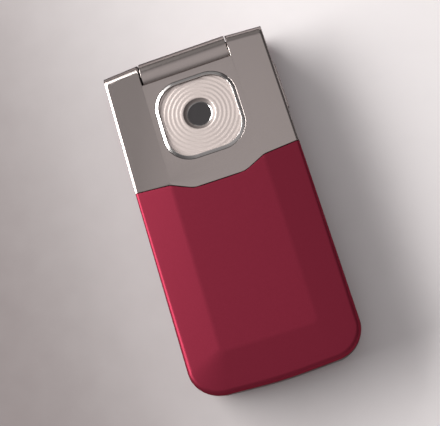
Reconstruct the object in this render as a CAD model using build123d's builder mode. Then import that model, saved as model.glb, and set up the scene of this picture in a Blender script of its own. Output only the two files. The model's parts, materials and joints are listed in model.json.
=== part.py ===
from build123d import *
from math import sqrt
import os

os.makedirs("parts", exist_ok=True)

# A clamshell phone, closed and lying on its lid: back up, hinge end at +Y, lengths in millimetres.
# The origin is under the middle of the phone, on the surface that it lies on.

# Overall form
body_width = 46.5
body_length = 95.5
lid_thickness = 7.4
parting_gap = 0.4
free_corner_radius = 8.5
lid_hinge_corner_radius = 1.8
ear_plan_radius = 0.4

# Facets of the back and of the lid's outer face
plateau_width = 26.0
plateau_corner_radius = 1.5
facet_drop = 1.5
end_facet_length = 11.4
hinge_slope_drop = 1.2
cover_rim_radius = 1.8
lid_rim_radius = 0.9
plate_chamfer = 0.7
plate_chamfer_drop = 0.4

# Seam between rear plate and battery cover, as distances from the hinge end and widths across
tab_setback = 40.4
tab_width = 14.4
shoulder_setback = 37.6
shoulder_width = 26.6
edge_setback = 36.2
seam_bend_radius = 6.0

# Walls and the gaps between pieces that are screwed, clipped or stacked together
frame_wall = 1.3
plate_wall = 1.0
cover_wall = 0.9
bay_wall = 1.2
seam_gap = 0.1
cover_gap = 0.15
seat_gap = 0.05
fit_clearance = 0.03
side_room = 1.0
rounding_share = 0.25
overrun = 2.0

# Hinge: the lid's barrel turns between the two ears of the base
barrel_radius = 4.8
barrel_width = 25.2
barrel_end_gap = 0.25
barrel_sink = 0.2
bay_clearance = 0.3
notch_lead = 3.1
ear_overhang = 0.6
ear_corner_radius = 3.6
ear_setback = 0.7
lid_relief = 0.55
neck_tail = 2.2
hinge_pin_radius = 1.2
hinge_pin_cover = 0.8
hinge_pin_end_wall = 3.5
running_clearance = 0.05
hinge_can_radius = 2.6
hinge_can_length = 11.2
hinge_shaft_reach = 7.8
hinge_bush_length = 4.0

# Camera group on the back
bezel_setback = 10.0
bezel_width = 22.8
bezel_length = 22.8
bezel_corner_radius = 7.5
bezel_rim = 0.9
bezel_depth = 1.1
bezel_floor = 0.4
bezel_stand = 0.25
ripple_thickness = 0.5
ripple_depth = 0.12
ripple_pitch = 1.15
ripple_start_radius = 5.6
ripple_count = 7
lens_lead = 0.6
lens_ring_radius = 4.4
lens_ring_height = 0.75
lens_window_radius = 3.3
lens_window_thickness = 0.4
lens_view_radius = 2.9
camera_module_width = 9.0
camera_module_height = 2.2
camera_barrel_radius = 2.6

# Keypad
panel_thickness = 0.8
key_stand = 0.2
key_clearance = 0.15
key_lip = 0.3
key_flange = 0.3
key_travel = 0.3
key_gap = 1.5
key_corner_radius = 2.0
key_chamfer = 0.2
keypad_side_margin = 2.0
keypad_free_margin = 3.0
keypad_hinge_margin = 2.0
nav_height = 24.0
nav_ring_width = 17.0
nav_ring_corner_radius = 4.0
select_width = 8.0
dome_radius = 2.0
dome_height = 0.1
dome_sheet_thickness = 0.1

# Volume key, a rocker in the wall at +X
rocker_length = 12.9
rocker_height = 1.8
rocker_setback = 19.35
rocker_stand = 0.5
rocker_depth = 1.7
rocker_room = 0.4
rocker_side_clearance = 0.1
rocker_end_clearance = 0.2
rocker_edge_radius = 0.3

# Inside of the base
board_thickness = 0.6
chassis_thickness = 0.4
tray_wall = 1.0
tray_height = 2.2
battery_side_setback = 6.0
battery_thickness = 3.35
battery_clearance = 0.2
battery_end_gap = 1.9
battery_edge_radius = 0.6
contact_room = 2.1
contact_width = 1.2
contact_pitch = 3.0
contact_height = 1.9
sim_width = 27.0
sim_length = 15.0
sim_height = 0.9
sim_sheet = 0.2
sim_lead = 8.75
rail_width = 2.8
shield_inner = 6.0
shield_side_setback = 5.5
shield_height = 1.5
shield_sheet = 0.2
shield_setback = 1.2
long_shield_length = 17.0
short_shield_length = 11.5
speaker_radius = 5.0
speaker_thickness = 1.2
motor_radius = 1.7
motor_length = 6.0
motor_side_setback = 16.5
motor_offset = 4.0
motor_shaft_radius = 0.4
motor_shaft_hold = 1.0
weight_radius = 1.6
weight_length = 2.4
weight_gap = 0.4
microphone_radius = 1.1
microphone_setback = 2.65
microphone_hole_radius = 0.4
jack_side_setback = 12.2
jack_width = 4.4
jack_length = 3.5
jack_lift = 0.2
jack_bore_radius = 1.05
jack_bore_depth = 3.0
jack_room = 0.2
carrier_setback = 2.35
carrier_length = 3.5
carrier_side_setback = 7.0
carrier_jack_gap = 1.6
carrier_height = 2.0
screw_inset = 2.1
screw_hinge_setback = 30.5
screw_free_setback = 10.75
screw_head_radius = 1.0
screw_head_height = 0.5
screw_shank_radius = 0.55
screw_hole_clearance = 0.05
ledge_width = 3.2
ledge_lead = 1.4
ledge_room = 0.2

# Lid
lid_cover_height = 2.6
lid_cover_floor = 0.9
lid_wall = 1.3
lid_top_wall = 0.9
window_width = 24.0
window_length = 19.0
window_setback = 32.0
window_recess = 0.05
outer_display_margin = 0.8
outer_display_thickness = 1.5
lid_frame_thickness = 0.5
lid_board_thickness = 0.6
lid_board_side_setback = 5.8
lid_board_hinge_setback = 15.75
lid_board_free_setback = 11.75
glass_side_setback = 4.0
glass_hinge_setback = 20.75
glass_free_setback = 12.75
display_side_margin = 1.5
display_end_margin = 3.0
glass_corner_radius = 2.0
glass_thickness = 0.85
glass_clearance = 0.1
earpiece_width = 11.0
earpiece_length = 4.0
earpiece_thickness = 1.5
earpiece_setback = 6.25
earpiece_slot_length = 2.4
earpiece_slot_width = 0.8
earpiece_slot_pitch = 3.4
earpiece_slot_count = 3
magnet_width = 4.0
magnet_length = 3.0
magnet_thickness = 1.8
magnet_side_setback = 10.0
post_radius = 1.8
post_inset = 1.8
post_hinge_setback = 14.75
post_free_setback = 9.25
lid_screw_head_radius = 1.2
lid_screw_length = 2.4
bumper_radius = 0.9
bumper_offset = 10.0
bumper_setback = 2.4
bumper_sink = 0.3
bumper_stand = 0.35
flex_width = 6.0
flex_thickness = 0.2
flex_room = 0.1
flex_roll_radius = 1.9
flex_lead = 8.0

# Places that follow from the sizes above
half_width = body_width / 2
plateau_half = plateau_width / 2
free_end = -body_length / 2
hinge_end = body_length / 2
tab_y = hinge_end - tab_setback
shoulder_y = hinge_end - shoulder_setback
edge_y = hinge_end - edge_setback
end_crease_y = free_end + end_facet_length
side_slope = facet_drop / (half_width - plateau_half)
end_slope = facet_drop / end_facet_length

# The back falls towards the hinge from where the seam meets the side walls, so only the rear plate slopes
shoulder_half = shoulder_width / 2
seam_reach = half_width + overrun
seam_rise_share = (half_width - shoulder_half) / (seam_reach - shoulder_half)
slope_y = shoulder_y + (edge_y - shoulder_y) * seam_rise_share - cover_gap / 2
hinge_slope = hinge_slope_drop / (hinge_end - slope_y)

# The stack of the closed phone, from the surface it lies on up to the back, sets its thickness
base_floor = lid_thickness + parting_gap
panel_inner = base_floor + panel_thickness
flange_low = panel_inner + seat_gap
flange_high = flange_low + key_flange
dome_low = flange_high + key_travel + seat_gap
sheet_low = dome_low + dome_height
sheet_high = sheet_low + dome_sheet_thickness
board_low = sheet_high + seat_gap
board_high = board_low + board_thickness
board_top_seat = board_high + seat_gap
chassis_low = board_high + seat_gap
chassis_high = chassis_low + chassis_thickness
bay_floor = chassis_high + seat_gap
battery_half = half_width - battery_side_setback
battery_top = bay_floor + battery_thickness
battery_edge_fall = side_slope * max(battery_half - plateau_half, 0)
body_thickness = battery_top + battery_clearance + cover_wall + battery_edge_fall


def roof_height(x, y):
    """Height of the back over a place: a plateau that falls off along the sides and towards both ends"""
    side_fall = side_slope * max(abs(x) - plateau_half, 0)
    hinge_fall = hinge_slope * max(y - slope_y, 0)
    end_fall = end_slope * max(end_crease_y - y, 0)
    return body_thickness - max(side_fall + hinge_fall, end_fall)


axis_y = hinge_end - barrel_radius
axis_z = roof_height(0, axis_y) - barrel_sink - barrel_radius
bay_radius = barrel_radius + bay_clearance
barrel_half = barrel_width / 2
bay_half = barrel_half + barrel_end_gap
ear_radius = barrel_radius + ear_overhang
ear_end = hinge_end - ear_setback
hinge_corner = (ear_end, roof_height(0, ear_end))
relief_radius = ear_radius + lid_relief
neck_lead = relief_radius + seat_gap
frame_top = axis_z + hinge_pin_radius + hinge_pin_cover
shell_floor = frame_top + seam_gap
cavity_end = axis_y - bay_radius - bay_wall
board_inset = frame_wall + side_room

lid_housing_low = lid_cover_height + seam_gap
lid_ceiling = lid_thickness - lid_top_wall
lid_frame_low = lid_housing_low + seat_gap
lid_frame_high = lid_frame_low + lid_frame_thickness
lid_board_low = lid_frame_high + seat_gap
lid_board_high = lid_board_low + lid_board_thickness
lid_cavity_end = axis_y - neck_lead - bay_wall


# Helpers that add a simple solid to the part being built
def slab(x_limits, y_limits, z_limits, mode=Mode.ADD):
    """An upright block between the given limits"""
    limits = (x_limits, y_limits, z_limits)
    middle = tuple((low + high) / 2 for low, high in limits)
    with Locations(middle):
        Box(*(high - low for low, high in limits), mode=mode)


def stud(place, radius, z_limits, mode=Mode.ADD):
    """An upright round bar at a place in plan between two heights"""
    low, high = z_limits
    with Locations((*place, (low + high) / 2)):
        Cylinder(radius, high - low, mode=mode)


def rod(x_limits, radius, mode=Mode.ADD, y=axis_y, z=axis_z):
    """A round bar across the phone, on the hinge axis unless another place is given"""
    low, high = x_limits
    with Locations(((low + high) / 2, y, z)):
        Cylinder(radius, high - low, rotation=(0, 90, 0), mode=mode)


# Outlines and forms that several pieces share
def plan_outline(inset, hinge_radius=lid_hinge_corner_radius, hinge_limit=hinge_end):
    """Plan drawn in by inset, up to hinge_limit: wide corners at the free end, tight ones at the hinge end"""
    tight_radius = max(hinge_radius - inset, 0)
    low = free_end + inset
    high = hinge_limit - inset
    with BuildSketch() as plan:
        with Locations((0, (low + high) / 2)):
            Rectangle(body_width - 2 * inset, high - low)
        fillet(plan.vertices().group_by(Axis.Y)[0], free_corner_radius - inset)
        if tight_radius > 0:
            fillet(plan.vertices().group_by(Axis.Y)[-1], tight_radius)
    return plan.sketch


def free_plan(half, low, radius):
    """Plan of the given half width from low to past the hinge end, with its two free corners rounded"""
    high = hinge_end + overrun
    with BuildSketch() as plan:
        with Locations((0, (low + high) / 2)):
            Rectangle(2 * half, high - low)
        fillet(plan.vertices().group_by(Axis.Y)[0], radius)
    return plan.sketch


def faceted_block(inset, plateau_z, rim_z, wall_z):
    """Block over the plan drawn in by inset: facets from plateau to level rim, then upright walls"""
    plateau_plan = free_plan(plateau_half, end_crease_y, plateau_corner_radius)
    rim_plan = free_plan(half_width - inset, free_end + inset, free_corner_radius - inset)
    with BuildPart() as block:
        with BuildSketch(Plane.XY.offset(rim_z)):
            add(rim_plan)
        with BuildSketch(Plane.XY.offset(plateau_z)):
            add(plateau_plan)
        loft(ruled=True)
        with BuildSketch(Plane.XY.offset(rim_z)):
            add(rim_plan)
        extrude(amount=wall_z - rim_z)
    return block.part


def slope_to_hinge(inset, side):
    """Cuts the part being built under the plane that falls to the hinge in the middle or on one side"""
    ridge = (side * plateau_half, slope_y, body_thickness - inset)
    split(bisect_by=Plane(origin=ridge, z_dir=(side * side_slope, hinge_slope, 1)), keep=Keep.BOTTOM)


def round_ear(side):
    """Rounds the hinge edge of the part being built along one side facet, which falls away from the middle"""
    above = body_thickness + overrun
    past_end = ear_end + overrun
    with BuildSketch(Plane.YZ.offset(side * plateau_half)) as corner:
        with BuildLine():
            Polyline(
                (slope_y, roof_height(0, slope_y)),
                hinge_corner,
                (ear_end, base_floor),
                (past_end, base_floor),
                (past_end, above),
                (slope_y, above),
                close=True,
            )
        make_face()
        fillet(corner.vertices().sort_by_distance((*hinge_corner, 0))[0], ear_corner_radius)
    extrude(corner.sketch, amount=half_width, dir=(side, 0, -side_slope), mode=Mode.SUBTRACT)


def base_form():
    """The whole base half: faceted back, rounded hinge end and the round lower lobes of the hinge ears"""
    lobe_back = sqrt(ear_radius**2 - (axis_z - base_floor) ** 2)
    lobe_fall = sqrt(ear_radius**2 - (ear_end - axis_y) ** 2)
    past_free_end = free_end - overrun
    block = faceted_block(0, body_thickness, body_thickness - facet_drop, axis_z - ear_radius - overrun)
    with BuildPart() as form:
        with BuildSketch(Plane.YZ) as profile:
            with BuildLine():
                lobe = ThreePointArc(
                    (axis_y - lobe_back, base_floor),
                    (axis_y, axis_z - ear_radius),
                    (ear_end, axis_z - lobe_fall),
                )
                Polyline(
                    lobe @ 1,
                    hinge_corner,
                    (past_free_end, body_thickness + hinge_slope * (slope_y - past_free_end)),
                    (past_free_end, base_floor),
                    lobe @ 0,
                )
            make_face()
            fillet(profile.vertices().sort_by_distance((*hinge_corner, 0))[0], ear_corner_radius)
        extrude(amount=seam_reach, both=True)
        add(block, mode=Mode.INTERSECT)
        with BuildSketch():
            add(plan_outline(0, ear_plan_radius, ear_end))
        extrude(amount=body_thickness + overrun, mode=Mode.INTERSECT)
        for side in (-1, 1):
            slope_to_hinge(0, side)
            round_ear(side)
    return form.part


def room_under_back(inset):
    """Room under the back drawn in by inset, open downwards and ending short of the hinge bay"""
    plateau_z = body_thickness - inset
    with BuildPart() as room:
        add(faceted_block(inset, plateau_z, plateau_z - facet_drop, base_floor))
        for side in (-1, 0, 1):
            slope_to_hinge(inset, side)
        split(bisect_by=Plane(origin=(0, cavity_end, 0), z_dir=(0, 1, 0)), keep=Keep.BOTTOM)
    return room.part


def inner_space(inset, z_limits, hinge_limit):
    """Room inside the plan drawn in by inset, between two heights, ending at hinge_limit"""
    low, high = z_limits
    with BuildPart() as space:
        with BuildSketch(Plane.XY.offset(low)):
            add(plan_outline(inset))
        extrude(amount=high - low)
        split(bisect_by=Plane(origin=(0, hinge_limit, 0), z_dir=(0, 1, 0)), keep=Keep.BOTTOM)
    return space.part


def lid_form(inset):
    """The outer shell of the lid drawn in by inset, faceted like the back, up to the lid housing"""
    with BuildPart() as form:
        with BuildSketch():
            add(plan_outline(inset))
        extrude(amount=lid_cover_height)
        add(faceted_block(inset, inset, inset + facet_drop, lid_cover_height), mode=Mode.INTERSECT)
    return form.part


def cover_zone(shift):
    """Column over the free side of the wavy seam, which is moved along the phone by shift"""
    with BuildPart() as zone:
        with BuildSketch():
            with BuildLine():
                seam = FilletPolyline(
                    (-seam_reach, edge_y + shift),
                    (-shoulder_half, shoulder_y + shift),
                    (-tab_width / 2, tab_y + shift),
                    (tab_width / 2, tab_y + shift),
                    (shoulder_half, shoulder_y + shift),
                    (seam_reach, edge_y + shift),
                    radius=seam_bend_radius,
                )
                past_free_end = free_end - overrun
                Polyline(seam @ 1, (seam_reach, past_free_end), (-seam_reach, past_free_end), seam @ 0)
            make_face()
        extrude(amount=body_thickness + overrun)
    return zone.part


base_block = base_form()

with BuildPart() as hinge_bay:
    bay = (-bay_half, bay_half)
    rod(bay, bay_radius)
    slab(bay, (axis_y - bay_radius, hinge_end + overrun), (axis_z - ear_radius - overrun, axis_z))
    slab(bay, (axis_y - notch_lead, hinge_end + overrun), (axis_z, body_thickness + overrun))

# Camera group: sketched on the sloping back, with heights measured from its surface
camera_y = hinge_end - bezel_setback - bezel_length / 2
lens_y = camera_y + lens_lead


def back_plane(y):
    """Plane on the sloping back at a place along the phone"""
    return Plane(origin=(0, y, roof_height(0, y)), x_dir=(1, 0, 0), z_dir=(0, hinge_slope, 1))


camera_plane = back_plane(camera_y)
lens_plane = back_plane(lens_y)


def bezel_square(inset):
    """Plan of the bezel drawn in by inset, a square with wide corners"""
    with BuildSketch() as square:
        RectangleRounded(bezel_width - 2 * inset, bezel_length - 2 * inset, bezel_corner_radius - inset)
    return square.sketch


def bezel_column(inset, low, high):
    """Column on the bezel's plan drawn in by inset, between two heights over the back"""
    with BuildPart() as column:
        with BuildSketch(camera_plane.offset(low)):
            add(bezel_square(inset))
        extrude(amount=high - low)
    return column.part


bezel_pocket = bezel_column(-fit_clearance, -bezel_depth - seat_gap, bezel_stand + overrun)

# Rear plate: silver shell over the hinge half, with the upper halves of the ears
cover_keep_out = cover_zone(0)
plate_room = room_under_back(plate_wall)
chamfer_x = half_width - plate_chamfer
chamfer_slope = plate_chamfer_drop / plate_chamfer
with BuildPart() as rear_plate:
    add(base_block)
    split(bisect_by=Plane.XY.offset(shell_floor), keep=Keep.TOP)
    add(cover_keep_out, mode=Mode.SUBTRACT)
    add(hinge_bay.part, mode=Mode.SUBTRACT)
    for side in (-1, 1):
        crest = (side * chamfer_x, slope_y, roof_height(chamfer_x, slope_y))
        split(bisect_by=Plane(origin=crest, z_dir=(side * chamfer_slope, hinge_slope, 1)), keep=Keep.BOTTOM)
    add(plate_room, mode=Mode.SUBTRACT)
    add(bezel_pocket, mode=Mode.SUBTRACT)
rear_plate.part.label = "rear_plate"
export_step(rear_plate.part, "parts/rear_plate.step")

# Battery cover: red shell over the free half
cover_column = cover_zone(-cover_gap)
cover_room = room_under_back(cover_wall)
with BuildPart() as battery_cover:
    add(base_block)
    split(bisect_by=Plane.XY.offset(shell_floor), keep=Keep.TOP)
    add(cover_column, mode=Mode.INTERSECT)
    rim_limit = body_thickness - facet_drop / 2
    level_edges = battery_cover.edges().filter_by(Axis.Z, reverse=True)
    rim = level_edges.filter_by_position(Axis.Z, shell_floor + seat_gap, rim_limit)
    fillet([edge for edge in rim if edge.bounding_box().max.Z < rim_limit], cover_rim_radius)
    add(cover_room, mode=Mode.SUBTRACT)
battery_cover.part.label = "battery_cover"
export_step(battery_cover.part, "parts/battery_cover.step")

# Camera bezel: a chrome cup with an upright rim and a thin floor
with BuildPart() as camera_bezel:
    add(bezel_column(0, -bezel_depth, bezel_stand))
    add(bezel_column(bezel_rim, bezel_floor - bezel_depth, bezel_stand + overrun), mode=Mode.SUBTRACT)
    fillet(camera_bezel.faces().sort_by(Axis.Z)[-1].outer_wire().edges(), bezel_rim / 2)
    with BuildSketch(lens_plane.offset(-bezel_depth - overrun)):
        Circle(lens_view_radius)
    extrude(amount=bezel_depth + overrun, mode=Mode.SUBTRACT)
camera_bezel.part.label = "camera_bezel"
export_step(camera_bezel.part, "parts/camera_bezel.step")

# Ripple plate: fills the bezel, with ring grooves round the lens
ripple_low = bezel_floor - bezel_depth + fit_clearance
ripple_high = ripple_low + ripple_thickness
ripple_column = bezel_column(bezel_rim + fit_clearance, ripple_low, ripple_high)
with BuildPart() as camera_ripple_plate:
    add(ripple_column)
    with BuildSketch(lens_plane.offset(ripple_low)):
        Circle(lens_ring_radius + fit_clearance)
    extrude(amount=ripple_thickness, mode=Mode.SUBTRACT)
    with BuildSketch(lens_plane.offset(ripple_high)):
        for ripple in range(ripple_count):
            inner_radius = ripple_start_radius + ripple * ripple_pitch
            Circle(inner_radius + ripple_pitch / 2)
            Circle(inner_radius, mode=Mode.SUBTRACT)
    extrude(amount=-ripple_depth, mode=Mode.SUBTRACT)
camera_ripple_plate.part.label = "camera_ripple_plate"
export_step(camera_ripple_plate.part, "parts/camera_ripple_plate.step")

with BuildPart() as camera_lens_ring:
    with BuildSketch(lens_plane.offset(ripple_low)):
        Circle(lens_ring_radius)
        Circle(lens_window_radius, mode=Mode.SUBTRACT)
    extrude(amount=lens_ring_height)
    lens_ring_wall = lens_ring_radius - lens_window_radius
    fillet(camera_lens_ring.edges().group_by(Axis.Z)[-1], lens_ring_wall * rounding_share)
camera_lens_ring.part.label = "camera_lens_ring"
export_step(camera_lens_ring.part, "parts/camera_lens_ring.step")

with BuildPart() as camera_window:
    with BuildSketch(lens_plane.offset(ripple_low)):
        Circle(lens_window_radius - fit_clearance)
    extrude(amount=lens_window_thickness)
camera_window.part.label = "camera_window"
export_step(camera_window.part, "parts/camera_window.step")

# Camera module: a square block on the board with a round lens barrel under the bezel's opening
module_y = (lens_y - camera_module_width / 2, lens_y + camera_module_width / 2)
barrel_top = roof_height(0, lens_y + camera_barrel_radius) - bezel_depth - seat_gap
with BuildPart() as camera_module:
    slab(
        (-camera_module_width / 2, camera_module_width / 2),
        module_y,
        (board_top_seat, board_top_seat + camera_module_height),
    )
    stud((0, lens_y), camera_barrel_radius, (board_top_seat, barrel_top))
camera_module.part.label = "camera_module"
export_step(camera_module.part, "parts/camera_module.step")

# Base frame: the front ring of the base, with the lower halves of the ears
rocker_y = hinge_end - rocker_setback
rocker_z = (panel_inner + frame_top) / 2
jack_low = panel_inner + jack_lift
jack_high = frame_top - seam_gap
jack_offset = half_width - jack_side_setback
jack_x = (jack_offset - jack_width / 2, jack_offset + jack_width / 2)
screw_x = half_width - frame_wall - screw_inset
screw_places = [
    (side * screw_x, y)
    for side in (-1, 1)
    for y in (hinge_end - screw_hinge_setback, free_end + screw_free_setback)
]
frame_cavity = inner_space(frame_wall, (base_floor - overrun, frame_top + overrun), cavity_end)
screw_hole_radius = screw_shank_radius + screw_hole_clearance
ear_bore_depth = half_width - hinge_pin_end_wall


def ledge_block(place, growth, mode):
    """Screw ledge on the frame's side wall at a place, grown by a margin on its free sides"""
    x, y = place
    side = x / abs(x)
    ends = sorted((x - side * (ledge_lead + growth), side * (half_width - frame_wall / 2)))
    reach = ledge_width / 2 + growth
    slab(tuple(ends), (y - reach, y + reach), (board_low, board_high), mode)


with BuildPart() as base_frame:
    add(base_block)
    split(bisect_by=Plane.XY.offset(frame_top), keep=Keep.BOTTOM)
    add(frame_cavity, mode=Mode.SUBTRACT)
    add(hinge_bay.part, mode=Mode.SUBTRACT)
    for place in screw_places:
        ledge_block(place, 0, Mode.ADD)
        stud(place, screw_hole_radius, (board_low - overrun, board_high + overrun), Mode.SUBTRACT)
    rod((-ear_bore_depth, ear_bore_depth), hinge_pin_radius + fit_clearance, Mode.SUBTRACT)
    slab(
        (half_width - rocker_depth - rocker_room, half_width + overrun),
        (
            rocker_y - rocker_length / 2 - rocker_end_clearance,
            rocker_y + rocker_length / 2 + rocker_end_clearance,
        ),
        (
            rocker_z - rocker_height / 2 - rocker_side_clearance,
            rocker_z + rocker_height / 2 + rocker_side_clearance,
        ),
        Mode.SUBTRACT,
    )
    slab(
        (jack_x[0] - fit_clearance, jack_x[1] + fit_clearance),
        (free_end - overrun, free_end + frame_wall + overrun),
        (jack_low - fit_clearance, frame_top + overrun),
        Mode.SUBTRACT,
    )
base_frame.part.label = "base_frame"
export_step(base_frame.part, "parts/base_frame.step")

with BuildPart() as volume_key:
    slab(
        (half_width - rocker_depth, half_width + rocker_stand),
        (rocker_y - rocker_length / 2, rocker_y + rocker_length / 2),
        (rocker_z - rocker_height / 2, rocker_z + rocker_height / 2),
    )
    fillet(volume_key.faces().sort_by(Axis.X)[-1].edges(), rocker_edge_radius)
volume_key.part.label = "volume_key"
export_step(volume_key.part, "parts/volume_key.step")

# Keypad: number keys in a grid, the navigation group between them and the hinge
panel_inset = frame_wall + fit_clearance
panel_hinge_end = cavity_end - fit_clearance
keys_half = half_width - panel_inset - keypad_side_margin
keys_free_end = free_end + panel_inset + keypad_free_margin
keys_hinge_end = panel_hinge_end - keypad_hinge_margin
nav_y = keys_hinge_end - nav_height / 2
number_rows = (("1", "2", "3"), ("4", "5", "6"), ("7", "8", "9"), ("star", "0", "hash"))
column_count = len(number_rows[0])
number_top = keys_hinge_end - nav_height - key_gap
number_width = (2 * keys_half - (column_count - 1) * key_gap) / column_count
number_height = (number_top - keys_free_end - (len(number_rows) - 1) * key_gap) / len(number_rows)
side_key_width = keys_half - nav_ring_width / 2 - key_gap
side_key_height = (nav_height - key_gap) / 2
side_key_x = keys_half - side_key_width / 2
side_key_shift = (side_key_height + key_gap) / 2

# Each key: name, place in plan, width, height and corner radius, with the user's left at +X
keys = [
    ("nav_ring", (0, nav_y), nav_ring_width, nav_ring_width, nav_ring_corner_radius),
    ("select_key", (0, nav_y), select_width, select_width, key_corner_radius),
]
side_keys = (
    ("softkey_left", 1, 1),
    ("softkey_right", -1, 1),
    ("call_key", 1, -1),
    ("end_key", -1, -1),
)
for name, side, level in side_keys:
    place = (side * side_key_x, nav_y + level * side_key_shift)
    keys.append((name, place, side_key_width, side_key_height, key_corner_radius))
for row, names in enumerate(number_rows):
    for column, name in enumerate(names):
        key_x = keys_half - number_width / 2 - column * (number_width + key_gap)
        key_y = number_top - number_height / 2 - row * (number_height + key_gap)
        keys.append((f"key_{name}", (key_x, key_y), number_width, number_height, key_corner_radius))


def key_plate(place, width, height, corner, growth, z_limits):
    """Rounded slab of a key's plan grown by a margin, between two heights"""
    low, high = z_limits
    with BuildPart() as plate:
        with BuildSketch(Plane.XY.offset(low)):
            with Locations(place):
                RectangleRounded(width + 2 * growth, height + 2 * growth, corner + growth)
        extrude(amount=high - low)
    return plate.part


# Keys: a cap that stands out of the panel and, apart from the select key, a flange behind the panel
key_face = base_floor - key_stand
select_hole = key_plate(
    (0, nav_y), select_width, select_width, key_corner_radius, key_clearance, (key_face, flange_high)
)
for name, place, width, height, corner in keys:
    cap = key_plate(place, width, height, corner, 0, (key_face, flange_high))
    flange = key_plate(place, width, height, corner, key_clearance + key_lip, (flange_low, flange_high))
    with BuildPart() as key:
        add(cap)
        chamfer(key.faces().sort_by(Axis.Z)[0].edges(), length=key_chamfer)
        if name != "select_key":
            add(flange)
        if name == "nav_ring":
            add(select_hole, mode=Mode.SUBTRACT)
    key.part.label = name
    export_step(key.part, f"parts/{name}.step")

panel_slab = inner_space(panel_inset, (base_floor, panel_inner), panel_hinge_end)
microphone_place = (0, free_end + microphone_setback)
key_windows = [
    key_plate(place, width, height, corner, key_clearance, (base_floor, panel_inner))
    for name, place, width, height, corner in keys
    if name != "select_key"
]
with BuildPart() as keypad_panel:
    add(panel_slab)
    for window in key_windows:
        add(window, mode=Mode.SUBTRACT)
    stud(microphone_place, microphone_hole_radius, (base_floor, panel_inner), Mode.SUBTRACT)
keypad_panel.part.label = "keypad_panel"
export_step(keypad_panel.part, "parts/keypad_panel.step")

# Dome sheet, board and chassis, stacked behind the keys
board_hinge_end = cavity_end - side_room
sheet_slab = inner_space(board_inset, (sheet_low, sheet_high), board_hinge_end)
board_slab = inner_space(board_inset, (board_low, board_high), board_hinge_end)
chassis_slab = inner_space(board_inset, (chassis_low, chassis_high), board_hinge_end)


def clear_jack():
    """Cuts room for the charger jack out of the part being built"""
    slab(
        (jack_x[0] - jack_room, jack_x[1] + jack_room),
        (free_end, free_end + jack_length + jack_room),
        (jack_low - jack_room, jack_high + jack_room),
        Mode.SUBTRACT,
    )


with BuildPart() as key_domes:
    add(sheet_slab)
    for name, place, width, height, corner in keys:
        if name != "nav_ring":
            stud(place, dome_radius, (dome_low, sheet_high))
    clear_jack()
key_domes.part.label = "key_domes"
export_step(key_domes.part, "parts/key_domes.step")

with BuildPart() as main_board:
    add(board_slab)
    for place in screw_places:
        ledge_block(place, ledge_room, Mode.SUBTRACT)
    clear_jack()
main_board.part.label = "main_board"
export_step(main_board.part, "parts/main_board.step")

sim_free_end = tab_y - sim_lead
sim_hinge_end = sim_free_end + sim_length
battery_hinge_end = sim_free_end - contact_room
battery_free_end = free_end + carrier_setback + carrier_length + battery_end_gap
tray_inner = battery_half + battery_clearance
rail_inner = half_width - board_inset - rail_width

with BuildPart() as chassis:
    add(chassis_slab)
    slab((-rail_inner, rail_inner), (sim_hinge_end, hinge_end), (chassis_low, chassis_high), Mode.SUBTRACT)
    for side in (-1, 1):
        wall = sorted((side * tray_inner, side * (tray_inner + tray_wall)))
        slab(tuple(wall), (battery_free_end, battery_hinge_end), (chassis_low, chassis_high + tray_height))
    for place in screw_places:
        stud(place, screw_hole_radius, (chassis_low, chassis_high), Mode.SUBTRACT)
    clear_jack()
chassis.part.label = "chassis"
export_step(chassis.part, "parts/chassis.step")

with BuildPart() as base_screws:
    for place in screw_places:
        stud(place, screw_shank_radius, (board_low, bay_floor))
        stud(place, screw_head_radius, (bay_floor, bay_floor + screw_head_height))
base_screws.part.label = "base_screws"
export_step(base_screws.part, "parts/base_screws.step")

with BuildPart() as battery:
    slab((-battery_half, battery_half), (battery_free_end, battery_hinge_end), (bay_floor, battery_top))
    fillet(battery.edges().filter_by(Axis.Y), battery_edge_radius)
battery.part.label = "battery"
export_step(battery.part, "parts/battery.step")

contact_y = (battery_hinge_end + sim_free_end) / 2
contact_reach = contact_width / 2
with BuildPart() as battery_contacts:
    for place in (-contact_pitch, 0, contact_pitch):
        slab(
            (place - contact_reach, place + contact_reach),
            (contact_y - contact_reach, contact_y + contact_reach),
            (bay_floor, bay_floor + contact_height),
        )
battery_contacts.part.label = "battery_contacts"
export_step(battery_contacts.part, "parts/battery_contacts.step")

# SIM holder: a sheet cage on the chassis, open towards the battery
with BuildPart() as sim_holder:
    slab((-sim_width / 2, sim_width / 2), (sim_free_end, sim_hinge_end), (bay_floor, bay_floor + sim_height))
    slab(
        (sim_sheet - sim_width / 2, sim_width / 2 - sim_sheet),
        (sim_free_end, sim_hinge_end - sim_sheet),
        (bay_floor + sim_sheet, bay_floor + sim_height - sim_sheet),
        Mode.SUBTRACT,
    )
sim_holder.part.label = "sim_holder"
export_step(sim_holder.part, "parts/sim_holder.step")

# Board shields: two sheet cans beside the camera, open towards the board
shield_hinge_end = board_hinge_end - shield_setback
shield_outer = half_width - shield_side_setback
shield_top = board_top_seat + shield_height
with BuildPart() as board_shields:
    for side, length in ((-1, long_shield_length), (1, short_shield_length)):
        can_x = tuple(sorted((side * shield_inner, side * shield_outer)))
        slab(can_x, (shield_hinge_end - length, shield_hinge_end), (board_top_seat, shield_top))
        slab(
            (can_x[0] + shield_sheet, can_x[1] - shield_sheet),
            (shield_hinge_end - length + shield_sheet, shield_hinge_end - shield_sheet),
            (board_top_seat, shield_top - shield_sheet),
            Mode.SUBTRACT,
        )
board_shields.part.label = "board_shields"
export_step(board_shields.part, "parts/board_shields.step")

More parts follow.
